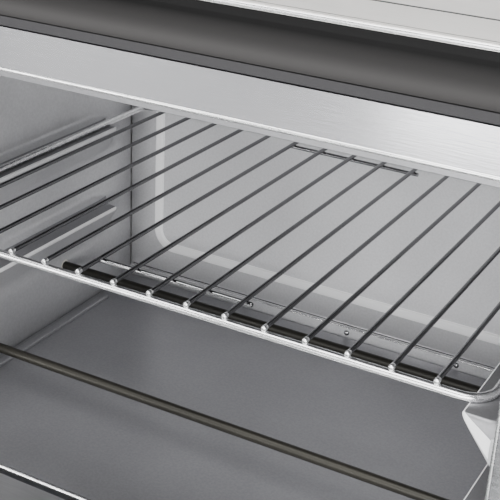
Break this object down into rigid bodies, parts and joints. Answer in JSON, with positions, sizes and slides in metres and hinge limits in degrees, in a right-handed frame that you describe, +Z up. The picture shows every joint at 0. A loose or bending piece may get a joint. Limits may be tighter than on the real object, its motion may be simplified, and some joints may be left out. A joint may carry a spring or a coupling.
{
  "type": "toaster oven",
  "caption": "Countertop toaster oven with a drop-down glass door, a wire rack on pressed guides, sheathed heating elements, a slide-out crumb tray and a column of control knobs.",
  "frame": {"origin": "on the counter, under the middle of the box that holds the oven with its door open", "axes": "+Z up, the front faces -Y, +X to the right as seen from the front"},
  "size_m": [0.486, 0.556, 0.316],
  "materials": {
    "cover_steel": "satin",
    "galvanised_steel": "satin",
    "cavity_steel": "satin",
    "frame_steel": "satin",
    "trim_grey": "satin",
    "gloss_black": "gloss",
    "knob_black": "satin",
    "fastener_steel": "satin",
    "bell_steel": "polished",
    "control_plastic": "matte",
    "lamp_red": "gloss",
    "lamp_glass": "gloss",
    "element_sheath": "satin",
    "white_ceramic": "matte",
    "rack_chrome": "polished",
    "tray_steel": "satin",
    "handle_steel": "satin",
    "door_steel": "satin",
    "door_glass": "gloss",
    "foot_rubber": "matte",
    "black_plastic": "matte"
  },
  "bodies": {
    "casing": {"outer_cover": "cover_steel", "rear_cover": "galvanised_steel", "base_pan": "galvanised_steel", "control_bracket": "galvanised_steel", "heat_shield": "galvanised_steel", "tray_runners": "galvanised_steel", "cavity_left_wall": "cavity_steel", "cavity_right_wall": "cavity_steel", "cavity_back_wall": "cavity_steel", "cavity_ceiling": "cavity_steel", "front_frame": "frame_steel", "bezel_trim": "trim_grey", "front_bezel": "gloss_black", "control_panel": "gloss_black", "rear_screws": "fastener_steel", "foot_screws": "fastener_steel", "back_wall_rivets": "fastener_steel", "terminal_screws": "fastener_steel", "hinge_brackets": "fastener_steel", "element_terminals": "fastener_steel", "timer_bell": "bell_steel", "thermostat": "control_plastic", "function_switch": "control_plastic", "timer": "control_plastic", "terminal_block": "control_plastic", "lamp_lens": "lamp_red", "pilot_lamp": "lamp_glass", "lower_front_element": "element_sheath", "lower_rear_element": "element_sheath", "upper_front_element": "element_sheath", "upper_rear_element": "element_sheath", "element_bushes": "white_ceramic", "feet": "foot_rubber", "rear_spacers": "black_plastic", "cord_gland": "black_plastic"},
    "door": {"door_frame": "door_steel", "door_glass": "door_glass", "glass_retainer": "door_steel", "retainer_screws": "fastener_steel", "door_inner_panel": "door_steel", "door_handle": "handle_steel", "handle_posts": "handle_steel", "handle_screws": "fastener_steel", "hinge_pins": "fastener_steel"},
    "rack": {"rack_frame": "rack_chrome", "rack_rods": "rack_chrome", "rack_cross_wires": "rack_chrome"},
    "tray": {"crumb_tray": "tray_steel", "crumb_tray_handle": "black_plastic"},
    "temperature_dial": {"temperature_knob": "knob_black", "temperature_shaft": "fastener_steel"},
    "function_dial": {"function_knob": "knob_black", "function_shaft": "fastener_steel"},
    "timer_dial": {"timer_knob": "knob_black", "timer_shaft": "fastener_steel"}
  },
  "joints": [
    {"name": "door_hinge", "type": "hinge", "parent": "casing", "child": "door", "pos_m": [0, -0.036, 0.05], "axis": [1, 0, 0], "range_deg": [-90, 0]},
    {"name": "rack_slide", "type": "slide", "parent": "casing", "child": "rack", "axis": [0, -1, 0], "range_m": [0, 0.18]},
    {"name": "tray_slide", "type": "slide", "parent": "casing", "child": "tray", "axis": [0, -1, 0], "range_m": [0, 0.19]},
    {"name": "temperature_turn", "type": "hinge", "parent": "casing", "child": "temperature_dial", "pos_m": [0.1915, -0.043, 0.248], "axis": [0, 1, 0], "range_deg": [0, 270]},
    {"name": "function_turn", "type": "hinge", "parent": "casing", "child": "function_dial", "pos_m": [0.1915, -0.043, 0.178], "axis": [0, 1, 0], "range_deg": [0, 180]},
    {"name": "timer_turn", "type": "hinge", "parent": "casing", "child": "timer_dial", "pos_m": [0.1915, -0.043, 0.108], "axis": [0, 1, 0], "range_deg": [0, 300]}
  ]
}
